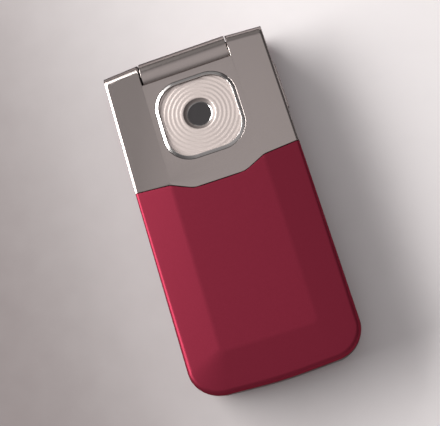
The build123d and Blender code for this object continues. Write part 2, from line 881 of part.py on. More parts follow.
speaker_place = (-(shield_inner + shield_outer) / 2, shield_hinge_end - long_shield_length / 2)
speaker_low = shield_top + seat_gap
with BuildPart() as loudspeaker:
    stud(speaker_place, speaker_radius, (speaker_low, speaker_low + speaker_thickness))
    fillet(loudspeaker.faces().sort_by(Axis.Z)[-1].edges(), speaker_thickness * rounding_share)
loudspeaker.part.label = "loudspeaker"
export_step(loudspeaker.part, "parts/loudspeaker.step")

# Vibration motor: a small can along X and the off-centre weight on its shaft
motor_y = sim_hinge_end + motor_offset
motor_z = board_top_seat + motor_radius
motor_start = half_width - motor_side_setback
motor_end = motor_start + motor_length
with BuildPart() as vibration_motor:
    rod((motor_start, motor_end), motor_radius, y=motor_y, z=motor_z)
    rod(
        (motor_end - motor_shaft_hold - running_clearance, motor_end),
        motor_shaft_radius + running_clearance,
        Mode.SUBTRACT,
        motor_y,
        motor_z,
    )
vibration_motor.part.label = "vibration_motor"
export_step(vibration_motor.part, "parts/vibration_motor.step")

weight_x = (motor_end + weight_gap, motor_end + weight_gap + weight_length)
with BuildPart() as motor_weight:
    rod(weight_x, weight_radius, y=motor_y, z=motor_z)
    split(bisect_by=Plane.XY.offset(motor_z), keep=Keep.BOTTOM)
    rod((motor_end - motor_shaft_hold, weight_x[1]), motor_shaft_radius, y=motor_y, z=motor_z)
motor_weight.part.label = "motor_weight"
export_step(motor_weight.part, "parts/motor_weight.step")

with BuildPart() as microphone:
    stud(microphone_place, microphone_radius, (flange_low, sheet_low - seat_gap))
microphone.part.label = "microphone"
export_step(microphone.part, "parts/microphone.step")

# Charger jack: a block in the end wall with a round socket
jack_z = (jack_low + jack_high) / 2
with BuildPart() as charger_jack:
    slab(jack_x, (free_end, free_end + jack_length), (jack_low, jack_high))
    with Locations(Plane(origin=(jack_offset, free_end, jack_z), z_dir=(0, -1, 0))):
        Hole(jack_bore_radius, depth=jack_bore_depth)
charger_jack.part.label = "charger_jack"
export_step(charger_jack.part, "parts/charger_jack.step")

with BuildPart() as antenna_carrier:
    slab(
        (carrier_side_setback - half_width, jack_x[0] - carrier_jack_gap),
        (free_end + carrier_setback, free_end + carrier_setback + carrier_length),
        (bay_floor, bay_floor + carrier_height),
    )
antenna_carrier.part.label = "antenna_carrier"
export_step(antenna_carrier.part, "parts/antenna_carrier.step")

# Pins of the hinge: both are held in the ears and run in the barrel
pin_outer = ear_bore_depth - fit_clearance
with BuildPart() as hinge_shaft:
    rod((barrel_half - hinge_shaft_reach, pin_outer), hinge_pin_radius)
hinge_shaft.part.label = "hinge_shaft"
export_step(hinge_shaft.part, "parts/hinge_shaft.step")

with BuildPart() as dummy_pin:
    rod((-pin_outer, hinge_bush_length - barrel_half), hinge_pin_radius)
dummy_pin.part.label = "dummy_pin"
export_step(dummy_pin.part, "parts/dummy_pin.step")

# Barrel of the lid, with the neck that carries it and a slot for the display flex
barrel_bore_radius = hinge_can_radius + fit_clearance
neck_y = (axis_y - neck_lead, axis_y + neck_tail)
flex_half = flex_width / 2
flex_low = lid_board_high + seat_gap
flex_high = flex_low + flex_thickness
flex_rise_y = axis_y - flex_roll_radius
flex_middle = (hinge_bush_length - hinge_can_length) / 2
flex_x = (flex_middle - flex_half, flex_middle + flex_half)
flex_slot = (flex_x[0] - flex_room, flex_x[1] + flex_room)
with BuildPart() as hinge_barrel:
    rod((-barrel_half, barrel_half), barrel_radius)
    slab((-barrel_half, barrel_half), neck_y, (lid_housing_low, lid_thickness))
    rod((-barrel_half, barrel_half), barrel_bore_radius, Mode.SUBTRACT)
    slab(
        flex_slot,
        (neck_y[0], flex_rise_y + flex_thickness + flex_room),
        (flex_low - flex_room, flex_high + flex_room),
        Mode.SUBTRACT,
    )
    slab(
        flex_slot,
        (flex_rise_y - flex_room, flex_rise_y + flex_thickness + flex_room),
        (flex_low - flex_room, axis_z),
        Mode.SUBTRACT,
    )
hinge_barrel.part.label = "hinge_barrel"
export_step(hinge_barrel.part, "parts/hinge_barrel.step")

with BuildPart() as hinge_unit:
    rod((barrel_half - hinge_can_length, barrel_half), hinge_can_radius)
    rod(
        (barrel_half - hinge_shaft_reach - running_clearance, barrel_half),
        hinge_pin_radius + running_clearance,
        Mode.SUBTRACT,
    )
hinge_unit.part.label = "hinge_unit"
export_step(hinge_unit.part, "parts/hinge_unit.step")

with BuildPart() as hinge_bush:
    rod((-barrel_half, hinge_bush_length - barrel_half), hinge_can_radius)
    rod((-barrel_half, hinge_bush_length - barrel_half), hinge_pin_radius + running_clearance, Mode.SUBTRACT)
hinge_bush.part.label = "hinge_bush"
export_step(hinge_bush.part, "parts/hinge_bush.step")

# Display flex: a strip from the lid board through the neck, rolled up inside the barrel
with BuildPart() as display_flex:
    slab(flex_x, (neck_y[0] - flex_lead, flex_rise_y), (flex_low, flex_high))
    slab(flex_x, (flex_rise_y, flex_rise_y + flex_thickness), (flex_low, axis_z))
    rod(flex_x, flex_roll_radius)
    rod(flex_x, flex_roll_radius - flex_thickness, Mode.SUBTRACT)
display_flex.part.label = "display_flex"
export_step(display_flex.part, "parts/display_flex.step")

# Lid cover: the outer shell, with an opening for the outer window
window_y = hinge_end - window_setback
lid_cover_block = lid_form(0)
lid_cover_room = lid_form(lid_cover_floor)
window_half = window_width / 2
with BuildPart() as lid_cover:
    add(lid_cover_block)
    rim = lid_cover.edges().filter_by(Axis.Z, reverse=True)
    low_rim = [edge for edge in rim if edge.bounding_box().min.Z > facet_drop / 2]
    fillet([edge for edge in low_rim if edge.bounding_box().max.Z < lid_cover_height], lid_rim_radius)
    add(lid_cover_room, mode=Mode.SUBTRACT)
    slab(
        (-window_half - fit_clearance, window_half + fit_clearance),
        (
            window_y - window_length / 2 - fit_clearance,
            window_y + window_length / 2 + fit_clearance,
        ),
        (-overrun, lid_cover_floor),
        Mode.SUBTRACT,
    )
lid_cover.part.label = "lid_cover"
export_step(lid_cover.part, "parts/lid_cover.step")

with BuildPart() as lid_window:
    slab(
        (-window_half, window_half),
        (window_y - window_length / 2, window_y + window_length / 2),
        (window_recess, lid_cover_floor),
    )
lid_window.part.label = "lid_window"
export_step(lid_window.part, "parts/lid_window.step")

outer_display_low = lid_cover_floor + seat_gap
outer_half = window_half + outer_display_margin
outer_reach = window_length / 2 + outer_display_margin
with BuildPart() as outer_display:
    slab(
        (-outer_half, outer_half),
        (window_y - outer_reach, window_y + outer_reach),
        (outer_display_low, outer_display_low + outer_display_thickness),
    )
outer_display.part.label = "outer_display"
export_step(outer_display.part, "parts/outer_display.step")

# Lid housing: the inner shell, round the display, with screw posts and a hollow that clears the ears
post_x = half_width - lid_wall - post_inset
post_places = [
    (side * post_x, y)
    for side in (-1, 1)
    for y in (hinge_end - post_hinge_setback, free_end + post_free_setback)
]
earpiece_y = free_end + earpiece_setback
glass_width = body_width - 2 * glass_side_setback
glass_length = body_length - glass_hinge_setback - glass_free_setback
glass_y = (glass_free_setback - glass_hinge_setback) / 2
lid_housing_block = inner_space(0, (lid_housing_low, lid_thickness), hinge_end)
lid_housing_room = inner_space(lid_wall, (lid_housing_low, lid_ceiling), lid_cavity_end)
bumper_places = [(side * bumper_offset, free_end + bumper_setback) for side in (-1, 1)]
bumper_seat = lid_thickness - bumper_sink
with BuildPart() as lid_housing:
    add(lid_housing_block)
    add(lid_housing_room, mode=Mode.SUBTRACT)
    for place in post_places:
        stud(place, post_radius, (lid_frame_high + seat_gap, lid_ceiling))
        stud(place, screw_hole_radius, (lid_frame_high, lid_ceiling - seat_gap), Mode.SUBTRACT)
    rod((-half_width - overrun, half_width + overrun), relief_radius, Mode.SUBTRACT)
    slab(
        (-barrel_half - fit_clearance, barrel_half + fit_clearance),
        (neck_y[0] - fit_clearance, neck_y[1] + fit_clearance),
        (lid_housing_low - overrun, lid_thickness + overrun),
        Mode.SUBTRACT,
    )
    slab(
        flex_slot,
        (lid_cavity_end - overrun, neck_y[0]),
        (flex_low - flex_room, flex_high + flex_room),
        Mode.SUBTRACT,
    )
    with BuildSketch(Plane.XY.offset(lid_ceiling)):
        with Locations((0, glass_y)):
            RectangleRounded(glass_width, glass_length, glass_corner_radius)
        with Locations((0, earpiece_y)):
            with GridLocations(earpiece_slot_pitch, 0, earpiece_slot_count, 1):
                SlotOverall(earpiece_slot_length, earpiece_slot_width)
    extrude(amount=lid_top_wall, mode=Mode.SUBTRACT)
    for place in bumper_places:
        stud(place, bumper_radius + fit_clearance, (bumper_seat, lid_thickness), Mode.SUBTRACT)
lid_housing.part.label = "lid_housing"
export_step(lid_housing.part, "parts/lid_housing.step")

with BuildPart() as bumpers:
    for place in bumper_places:
        stud(place, bumper_radius, (bumper_seat, lid_thickness + bumper_stand))
bumpers.part.label = "bumpers"
export_step(bumpers.part, "parts/bumpers.step")

lid_frame_slab = inner_space(
    lid_wall + fit_clearance, (lid_frame_low, lid_frame_high), lid_cavity_end - fit_clearance
)
with BuildPart() as lid_frame:
    add(lid_frame_slab)
    for place in post_places:
        stud(place, screw_hole_radius, (lid_frame_low, lid_frame_high), Mode.SUBTRACT)
lid_frame.part.label = "lid_frame"
export_step(lid_frame.part, "parts/lid_frame.step")

with BuildPart() as lid_screws:
    for place in post_places:
        stud(place, lid_screw_head_radius, (lid_frame_low - screw_head_height, lid_frame_low))
        stud(place, screw_shank_radius, (lid_frame_low, lid_frame_low + lid_screw_length))
lid_screws.part.label = "lid_screws"
export_step(lid_screws.part, "parts/lid_screws.step")

lid_board_half = half_width - lid_board_side_setback
with BuildPart() as lid_board:
    slab(
        (-lid_board_half, lid_board_half),
        (free_end + lid_board_free_setback, hinge_end - lid_board_hinge_setback),
        (lid_board_low, lid_board_high),
    )
lid_board.part.label = "lid_board"
export_step(lid_board.part, "parts/lid_board.step")

display_low = lid_board_high + seat_gap
with BuildPart() as main_display:
    slab(
        (display_side_margin - glass_width / 2, glass_width / 2 - display_side_margin),
        (glass_y - glass_length / 2 + display_end_margin, glass_y + glass_length / 2 - display_end_margin),
        (display_low, lid_ceiling - glass_clearance),
    )
main_display.part.label = "main_display"
export_step(main_display.part, "parts/main_display.step")

with BuildPart() as display_glass:
    with BuildSketch(Plane.XY.offset(lid_ceiling)):
        with Locations((0, glass_y)):
            RectangleRounded(
                glass_width - 2 * glass_clearance, glass_length - 2 * glass_clearance, glass_corner_radius
            )
    extrude(amount=glass_thickness)
display_glass.part.label = "display_glass"
export_step(display_glass.part, "parts/display_glass.step")

earpiece_top = lid_ceiling - seat_gap
with BuildPart() as earpiece:
    with BuildSketch(Plane.XY.offset(earpiece_top)):
        with Locations((0, earpiece_y)):
            SlotOverall(earpiece_width, earpiece_length)
    extrude(amount=-earpiece_thickness)
earpiece.part.label = "earpiece"
export_step(earpiece.part, "parts/earpiece.step")

magnet_x = half_width - magnet_side_setback
with BuildPart() as lid_magnet:
    slab(
        (magnet_x - magnet_width / 2, magnet_x + magnet_width / 2),
        (earpiece_y - magnet_length / 2, earpiece_y + magnet_length / 2),
        (earpiece_top - magnet_thickness, earpiece_top),
    )
lid_magnet.part.label = "lid_magnet"
export_step(lid_magnet.part, "parts/lid_magnet.step")
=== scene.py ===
"""Looks of a clamshell phone that lies closed on its lid: shells, camera, keys, finishes, light and view"""
import json
import math

import bmesh
import bpy
import numpy as np
from mathutils import Matrix, Vector


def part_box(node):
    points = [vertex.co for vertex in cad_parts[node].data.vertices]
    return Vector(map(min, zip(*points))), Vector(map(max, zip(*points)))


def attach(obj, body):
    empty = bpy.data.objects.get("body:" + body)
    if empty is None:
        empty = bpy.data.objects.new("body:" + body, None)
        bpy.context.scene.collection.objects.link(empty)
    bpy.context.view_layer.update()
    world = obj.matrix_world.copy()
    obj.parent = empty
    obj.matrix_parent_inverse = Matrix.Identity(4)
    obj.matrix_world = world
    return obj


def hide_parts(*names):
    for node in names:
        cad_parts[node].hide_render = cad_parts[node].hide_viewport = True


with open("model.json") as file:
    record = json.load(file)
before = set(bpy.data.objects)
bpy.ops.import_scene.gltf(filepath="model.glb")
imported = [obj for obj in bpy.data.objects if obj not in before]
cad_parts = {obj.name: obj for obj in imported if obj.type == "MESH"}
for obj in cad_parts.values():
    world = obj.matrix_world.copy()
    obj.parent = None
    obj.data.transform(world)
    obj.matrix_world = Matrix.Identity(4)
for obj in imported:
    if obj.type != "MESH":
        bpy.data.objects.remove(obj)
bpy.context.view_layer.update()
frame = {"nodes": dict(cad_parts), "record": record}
mm = 0.001

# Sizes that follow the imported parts; the phone's middle is at the origin
cover_low, cover_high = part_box("battery_cover")
half_width = cover_high.x
free_end = cover_low.y
hinge_end = -free_end
plateau_z = cover_high.z
wall_low = cover_low.z

# Back facets: a level plateau inside a lower rim, matched outline to outline
facet_drop = 1.5 * mm
rim_z = plateau_z - facet_drop
corner_radius = 8.5 * mm
plateau_half = 13.0 * mm
end_facet_length = 11.4 * mm
plateau_end = free_end + end_facet_length
plateau_corner = 1.5 * mm
crease_half = 0.6 * mm
seam_rim_radius = 1.0 * mm
end_rim_radius = 1.8 * mm
cover_wall = 0.9 * mm
cover_edge = 0.12 * mm
cover_edge_bend = math.radians(60)

# Bow of the free end: drawn in a little at the middle, more towards the corners, fading out along the phone
bow_middle = 0.25 * mm
bow_corner = 0.67 * mm
bow_half = 19.0 * mm
bow_reach = 16.0 * mm

# Seam between the cover and the plate: half of its corners, from the middle out past the side wall
seam_overrun = 2.0 * mm
seam_across = np.array([0.0, 7.2 * mm, 13.3 * mm, half_width + seam_overrun])
seam_along = hinge_end - np.array([40.4, 40.4, 37.6, 36.2]) * mm
seam_radius = 6.0 * mm
seam_gap = 0.15 * mm

# Seat of the camera group on the plate, which slopes down from the seam's outer end to the hinge end
slope_drop = 1.2 * mm
slope_start = np.interp(half_width, seam_across, seam_along) - seam_gap / 2
seat_slope = slope_drop / (hinge_end - slope_start)
bezel_setback = 21.4 * mm
bezel_y = hinge_end - bezel_setback
bezel_seat = Vector((0.0, bezel_y, plateau_z - seat_slope * (bezel_y - slope_start)))
lens_lead = 0.6 * mm

# Bezel: a wall, a small chamfer, a slope up to a round crest, and a wall inside
bezel_half = (11.4 * mm, 11.4 * mm)
bezel_radius = 7.5 * mm
bezel_rim = 0.9 * mm
bezel_rise = 0.25 * mm
bezel_depth = 1.1 * mm
bezel_foot = -0.12 * mm
bezel_chamfer = 0.05 * mm
crest_radius = 0.1 * mm
crest_turn = math.radians(115)

# Rippled plate, funnel, polished step and glass, at heights from the seat
ripple_floor = -0.67 * mm
ripple_top = -0.17 * mm
ripple_start = 4.9 * mm
ripple_pitch = 1.15 * mm
ripple_depth = 0.075 * mm
ripple_dome = 0.22 * mm
ripple_reach = 10.5 * mm
ripple_clearance = 0.02 * mm
ring_outer = 4.4 * mm
ring_lip = 0.12 * mm
ring_hollow = 1.5
step_outer = 3.5 * mm
step_top = -0.78 * mm
window_radius = 3.25 * mm
window_edge = -0.92 * mm
window_dome = 0.07 * mm

# Keys: a flange behind the panel and a crowned face in front of it, and a ring that slopes to the select key
key_flange = 0.45 * mm
key_flange_thickness = 0.3 * mm
key_edge = 0.3 * mm
key_crown = 0.1 * mm
key_corner = 2.0 * mm
nav_corner = 4.4 * mm
nav_gap = 0.25 * mm
nav_slope_width = 0.5 * mm
nav_slope_start = 0.05 * mm
nav_slope_end = 0.3 * mm

# Signs printed on the keys; the font's figures stand at a share of its size
digit_height = 4.2 * mm
figure_height_share = 0.7
print_height = 0.02 * mm

# Copied shells: bends above which an edge isn't flat, is a crease or an edge between broad faces, or is
# sharp beside any face, and the least area of a broad face
flat_bend = math.radians(0.3)
crease_bend = math.radians(2)
edge_bend = math.radians(12)
sharp_bend = math.radians(35)
broad_face = 20 * mm ** 2

# Copied shells: edges near the free end, divided for its bow, and how far a copy stays inside its node
end_zone = 5 * mm
long_edge = 4 * mm
end_cuts = 9
box_hair = 0.02 * mm

# Distances within which points are one point, and the smallest corner that an outline keeps
node_merge = 0.03 * mm
print_merge = 0.001 * mm
grid_merge = 0.0005 * mm
grid_sliver = 0.0001 * mm
least_radius = 0.02 * mm

# Steps of the grids
arc_steps = 16
side_steps = 40
end_steps = 24
flat_steps = 6
round_steps = 9
crest_steps = 6
rays_a_point = 4
steps_a_ripple = 12
ring_steps = 10
ring_turn_steps = 128
window_steps = 12
window_turn_steps = 96
key_edge_steps = 7
key_crown_steps = 8
rounding_steps = 2
print_steps = 4

# Sockets of a colour Mix node by number, because other kinds of Mix share their names
mix_share, mix_first, mix_second = 0, 6, 7
mix_result = 2

# Grain of the finishes: real flake and mould grain, 0.02 to 0.1 mm, is too fine to show and is drawn coarser
grain_detail = 3.0
relief_strength = 0.6
plain_relief = 0.004 * mm


def linear(hex_colour):
    """Linear red, green, blue and alpha of an sRGB hex value"""
    share = np.array([int(hex_colour[i:i + 2], 16) for i in (1, 3, 5)]) / 255
    bent = np.where(share <= 0.04045, share / 12.92, ((share + 0.055) / 1.055) ** 2.4)
    return (*bent.tolist(), 1.0)


def add_node(tree, kind, inputs=None, **settings):
    """Adds a shader node, sets its properties, and sets or links each input"""
    made = tree.nodes.new("ShaderNode" + kind)
    for name, value in settings.items():
        setattr(made, name, value)
    for name, value in (inputs or {}).items():
        if isinstance(value, bpy.types.NodeSocket):
            tree.links.new(value, made.inputs[name])
        else:
            made.inputs[name].default_value = value
    return made


def start_material(name, sockets):
    """New material, with values set on the sockets of its main shader"""
    material = bpy.data.materials.new(name)
    material.use_nodes = True
    shader = material.node_tree.nodes["Principled BSDF"]
    for socket, value in sockets.items():
        shader.inputs[socket].default_value = value
    return material, material.node_tree, shader


def speckle(material, tree, shader, grain, colours, roughness, relief):
    """Ties colour, roughness and relief of a finish to one fine noise whose grain has the given size"""
    place = add_node(tree, "TexCoord").outputs["Object"]
    noise = add_node(tree, "TexNoise", {"Vector": place, "Scale": 1 / grain, "Detail": grain_detail})
    share = noise.outputs["Fac"]
    shade = add_node(tree, "Mix", {mix_share: share, mix_first: linear(colours[0]),
                                   mix_second: linear(colours[1])}, data_type="RGBA")
    rough = add_node(tree, "MapRange", {"Value": share, "To Min": roughness[0], "To Max": roughness[1]})
    bump = add_node(tree, "Bump", {"Height": share, "Distance": relief, "Strength": relief_strength})
    tree.links.new(shade.outputs[mix_result], shader.inputs["Base Color"])
    tree.links.new(rough.outputs["Result"], shader.inputs["Roughness"])
    tree.links.new(bump.outputs["Normal"], shader.inputs["Normal"])
    return material


def satin_metal_paint():
    """Moulded ABS under a metal-look paint: a grey, soft mirror with a fine flake"""
    made = start_material("satin_metal_paint", {"Metallic": 1.0, "Specular Tint": linear("#55555C")})
    return speckle(*made, grain=0.35 * mm, colours=("#B0A7A4", "#BBB2AF"), roughness=(0.16, 0.22),
                   relief=0.002 * mm)


def red_metal_lacquer():
    """Moulded ABS under a matt red metallic lacquer: brightens a lot where it leans to the light"""
    made = start_material("red_metal_lacquer", {"Metallic": 0.85, "Specular IOR Level": 0.4,
                                                "Specular Tint": linear("#6A4048")})
    return speckle(*made, grain=0.3 * mm, colours=("#852A3C", "#913044"), roughness=(0.42, 0.52),
                   relief=0.006 * mm)


def polished_chrome():
    """Chromed trim: a near mirror with a faint haze"""
    made = start_material("polished_chrome", {"Metallic": 1.0})
    return speckle(*made, grain=1.5 * mm, colours=("#C9C6C5", "#D6D3D2"), roughness=(0.14, 0.2),
                   relief=0.001 * mm)


def pearl_plastic():
    """Pearl lacquer on a moulded plate: pale, pinkish and glossy"""
    made = start_material("pearl_plastic", {"Metallic": 0.5, "Coat Weight": 0.5, "Coat Roughness": 0.12})
    return speckle(*made, grain=0.4 * mm, colours=("#DCCFCA", "#E6DAD5"), roughness=(0.3, 0.4),
                   relief=0.002 * mm)


def satin_grey_ring():
    """Machined-look ring round the lens: warm grey and satin"""
    made = start_material("satin_grey_ring", {"Metallic": 0.4})
    return speckle(*made, grain=0.3 * mm, colours=("#7B7270", "#8A817E"), roughness=(0.38, 0.46),
                   relief=0.003 * mm)


def smoked_glass():
    """Dark window: black glass with a clean gloss and a little haze"""
    made = start_material("smoked_glass", {"IOR": 1.52, "Coat Weight": 0.3, "Coat Roughness": 0.03})
    return speckle(*made, grain=2.0 * mm, colours=("#2B292A", "#312E30"), roughness=(0.05, 0.1),
                   relief=0.0005 * mm)


def graphite_moulding():
    """Fine-textured moulded ABS in graphite grey: dull, with a soft sheen along its edges"""
    made = start_material("graphite_moulding", {"IOR": 1.53})
    return speckle(*made, grain=0.25 * mm, colours=("#2C2C2F", "#36363A"), roughness=(0.42, 0.55),
                   relief=0.01 * mm)


def key_moulding():
    """Painted polycarbonate key tops: pale grey, satin"""
    made = start_material("key_moulding", {"IOR": 1.58, "Metallic": 0.3})
    return speckle(*made, grain=0.3 * mm, colours=("#9C9DA0", "#A8A9AC"), roughness=(0.34, 0.42),
                   relief=0.004 * mm)


def plain_finish(name, colours, metallic, roughness, grain):
    """Finish of the inner pieces: one noise for its colour, gloss and relief"""
    made = start_material(name, {"Metallic": metallic})
    return speckle(*made, grain=grain, colours=colours, roughness=roughness, relief=plain_relief)


# Finish of each slot; the inner ones are matt black mouldings, steel and gold with a metal's sheen, a green
# solder mask, grey and amber films with a slight gloss, and dull rubber
silver = satin_metal_paint()
slot_finish = {
    "silver_plate": silver,
    "silver_barrel": silver,
    "red_cover": red_metal_lacquer(),
    "chrome_trim": polished_chrome(),
    "pearl_plate": pearl_plastic(),
    "grey_ring": satin_grey_ring(),
    "dark_glass": smoked_glass(),
    "graphite_plastic": graphite_moulding(),
    "key_plastic": key_moulding(),
    "black_plastic": plain_finish("black_moulding", ("#1C1C1D", "#242425"), 0.0, (0.5, 0.65), 0.3 * mm),
    "sheet_steel": plain_finish("rolled_steel", ("#A9A8A6", "#B9B8B6"), 1.0, (0.28, 0.42), 0.5 * mm),
    "board": plain_finish("green_board", ("#1E5A36", "#256840"), 0.0, (0.35, 0.5), 0.8 * mm),
    "battery_wrap": plain_finish("grey_film", ("#5C5D62", "#66676C"), 0.0, (0.35, 0.5), 0.6 * mm),
    "contacts": plain_finish("gold_plating", ("#D2AE5C", "#DDBC70"), 1.0, (0.2, 0.3), 0.4 * mm),
    "soft_rubber": plain_finish("soft_rubber", ("#1A1A1A", "#222222"), 0.0, (0.7, 0.85), 0.2 * mm),
    "flex_film": plain_finish("amber_film", ("#A5651C", "#B57325"), 0.0, (0.3, 0.42), 0.7 * mm),
}

# Every node starts with its slot's finish; pieces below then stand for the nodes that show
for part in frame["record"]["subparts"]:
    node_object = frame["nodes"][part["node"]]
    node_object.data.materials.clear()
    node_object.data.materials.append(slot_finish[part["material_slot"]])


def fit(piece, body, slot, *nodes):
    """Gives a piece its slot's finish, its body and the nodes that it stands for"""
    piece.data.materials.clear()
    piece.data.materials.append(slot_finish[slot])
    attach(piece, body)
    if nodes:
        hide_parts(*nodes)


def surface(name, points, closed_rows=False, closed_columns=False):
    """Mesh of a grid of points: a quad in each cell, rows or columns that close run back to their first one,
    and points that fall together, at seams and poles, are merged"""
    rows, columns = points.shape[:2]
    index = np.arange(rows * columns).reshape(rows, columns)
    if closed_rows:
        index = np.vstack([index, index[:1]])
    if closed_columns:
        index = np.hstack([index, index[:, :1]])
    quads = np.stack([index[:-1, :-1], index[:-1, 1:], index[1:, 1:], index[1:, :-1]], axis=-1)
    mesh = bpy.data.meshes.new(name)
    mesh.from_pydata(points.reshape(-1, 3).tolist(), [], quads.reshape(-1, 4).tolist())
    work = bmesh.new()
    work.from_mesh(mesh)
    bmesh.ops.remove_doubles(work, verts=work.verts, dist=grid_merge)
    bmesh.ops.dissolve_degenerate(work, edges=work.edges, dist=grid_sliver)
    return finished_object(name, mesh, work)


def finished_object(name, mesh, work):
    """Writes the worked mesh back with smooth faces and links its object at the origin"""
    work.to_mesh(mesh)
    work.free()
    mesh.polygons.foreach_set("use_smooth", np.ones(len(mesh.polygons), dtype=bool))
    piece = bpy.data.objects.new(name, mesh)
    bpy.context.scene.collection.objects.link(piece)
    return piece


def mesh_points(mesh):
    """Places of a mesh's vertices, one row each"""
    points = np.empty(3 * len(mesh.vertices))
    mesh.vertices.foreach_get("co", points)
    return points.reshape(-1, 3)


def outward(piece):
    """Turns the faces of a closed piece outwards"""
    work = bmesh.new()
    work.from_mesh(piece.data)
    bmesh.ops.recalc_face_normals(work, faces=work.faces)
    work.to_mesh(piece.data)
    work.free()
    return piece


def round_edges(piece, width, **limit):
    """Rounding of edges, chosen by angle or by weight, with shading weighted to the larger faces"""
    bevel = piece.modifiers.new("edge_rounding", "BEVEL")
    bevel.width = width
    bevel.segments = rounding_steps
    for name, value in limit.items():
        setattr(bevel, name, value)
    bevel.use_clamp_overlap = False
    bevel.loop_slide = False
    return weighted_shading(piece)


def weighted_shading(piece):
    """Shading that follows the larger faces, so that broad flats stay flat beside narrow roundings"""
    normals = piece.modifiers.new("face_weighted_shading", "WEIGHTED_NORMAL")
    normals.keep_sharp = False
    return piece


def sharp_shading(piece):
    """Shading that breaks at every edge that bends by more than a turned ring's facets do"""
    piece.data.set_sharp_from_angle(angle=sharp_bend)
    return piece


def bowed(points):
    """Points with the free end's bow: drawn in by a squared sine of the place across, times a smooth step
    that fades out along the phone"""
    across = np.minimum(np.abs(points[..., 0]) / bow_half, 1)
    near = np.clip(1 - (points[..., 1] - free_end) / bow_reach, 0, 1)
    drawn_in = bow_middle + bow_corner * np.sin(across * math.pi / 2) ** 2
    made = points.copy()
    made[..., 1] += drawn_in * near ** 2 * (3 - 2 * near)
    return made


def bow_shell(piece, node):
    """Bows the free end of a node's copy and keeps it a hair inside the node's box, by as much as roundings
    stray"""
    points = mesh_points(piece.data)
    low, high = np.array(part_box(node))
    points[:, :2] = np.clip(points[:, :2], low[:2] + box_hair, high[:2] - box_hair)
    piece.data.vertices.foreach_set("co", bowed(points).ravel())
    return piece


def soft_copy(name, node, rounding, crease):
    """Copy of a node's mesh with its loose triangles merged and its flat runs joined: sharp edges, and clear
    bends between two broad faces, get a rounding of the given width, slight ones one of the crease's width,
    and long edges across the free end are divided so that they can bow"""
    mesh = bpy.data.meshes.new(name)
    work = bmesh.new()
    work.from_mesh(frame["nodes"][node].data)
    bmesh.ops.remove_doubles(work, verts=work.verts, dist=node_merge)
    bmesh.ops.dissolve_limit(work, angle_limit=flat_bend, verts=work.verts, edges=work.edges)
    bmesh.ops.connect_verts_concave(work, faces=work.faces)
    ends = [edge for edge in work.edges if all(vert.co.y < free_end + end_zone for vert in edge.verts)
            and abs(edge.verts[0].co.x - edge.verts[1].co.x) > long_edge]
    bmesh.ops.subdivide_edges(work, edges=ends, cuts=end_cuts, use_grid_fill=True)
    weight = work.edges.layers.float.new("bevel_weight_edge")
    widest = max(rounding, crease)
    for edge in work.edges:
        bend = edge.calc_face_angle(0.0)
        broad = min((face.calc_area() for face in edge.link_faces), default=0.0) > broad_face
        if bend > sharp_bend or (bend > edge_bend and broad):
            edge[weight] = rounding / widest
        elif bend > crease_bend and broad:
            edge[weight] = crease / widest
    piece = bow_shell(finished_object(name, mesh, work), node)
    return round_edges(piece, widest, limit_method="WEIGHT")


def rounded_ring(half, radius, inset):
    """Closed outlines of rounded rectangles, one row an inset: quarter arcs about corner centres that stay
    put while the radius shrinks, and once it is used up the corner itself moves in"""
    inset = np.asarray(inset, dtype=float)[:, None, None]
    turn = np.linspace(0, math.pi / 2, arc_steps)
    angle = (turn + np.arange(4)[:, None] * math.pi / 2)[None]
    side = np.array([[1, 1], [-1, 1], [-1, -1], [1, -1]])
    left = np.maximum(radius - inset, least_radius)
    x = side[None, :, :1] * (half[0] - inset - left) + left * np.cos(angle)
    y = side[None, :, 1:] * (half[1] - inset - left) + left * np.sin(angle)
    return np.stack([x.reshape(len(inset), -1), y.reshape(len(inset), -1)], axis=-1)


def raised(plan, height):
    """Outlines, one a row, lifted to each row's height"""
    return np.concatenate([plan, np.broadcast_to(height[:, None, None], plan.shape[:2] + (1,))], axis=-1)


def lathe(profile, count):
    """Profile of (radius, height) rows carried once round the upright axis"""
    angle = np.linspace(0, 2 * math.pi, count, endpoint=False)
    radius, height = np.asarray(profile, dtype=float).T
    circle = np.stack([np.cos(angle), np.sin(angle)], axis=-1)
    return raised(radius[:, None, None] * circle, height)


def on_seat(points, lead=0.0):
    """Moves points from the camera group's own level plane to the slope, at a lead along it from the bezel's
    middle"""
    across = Vector((1.0, 0.0, 0.0))
    along = Vector((0.0, 1.0, -seat_slope)).normalized()
    turned = np.array([across, along, across.cross(along)])
    return points @ turned + np.array(bezel_seat + lead * along)


def seam_line(x):
    """Place of the seam along the phone at each x: straight runs, joined by arcs that touch both"""
    across = np.abs(x)
    along = np.interp(across, seam_across, seam_along)
    heading = np.arctan2(np.diff(seam_along), np.diff(seam_across))
    for corner in (1, 2):
        before, after = heading[corner - 1], heading[corner]
        bend = np.sign(after - before)
        reach = seam_radius * abs(math.tan((after - before) / 2))
        first_x = seam_across[corner] - reach * math.cos(before)
        first_y = seam_along[corner] - reach * math.sin(before)
        last_x = seam_across[corner] + reach * math.cos(after)
        middle_x = first_x - bend * seam_radius * math.sin(before)
        middle_y = first_y + bend * seam_radius * math.cos(before)
        arc = middle_y - bend * np.sqrt(np.maximum(seam_radius ** 2 - (across - middle_x) ** 2, 0))
        along = np.where((across > first_x) & (across < last_x), arc, along)
    return along


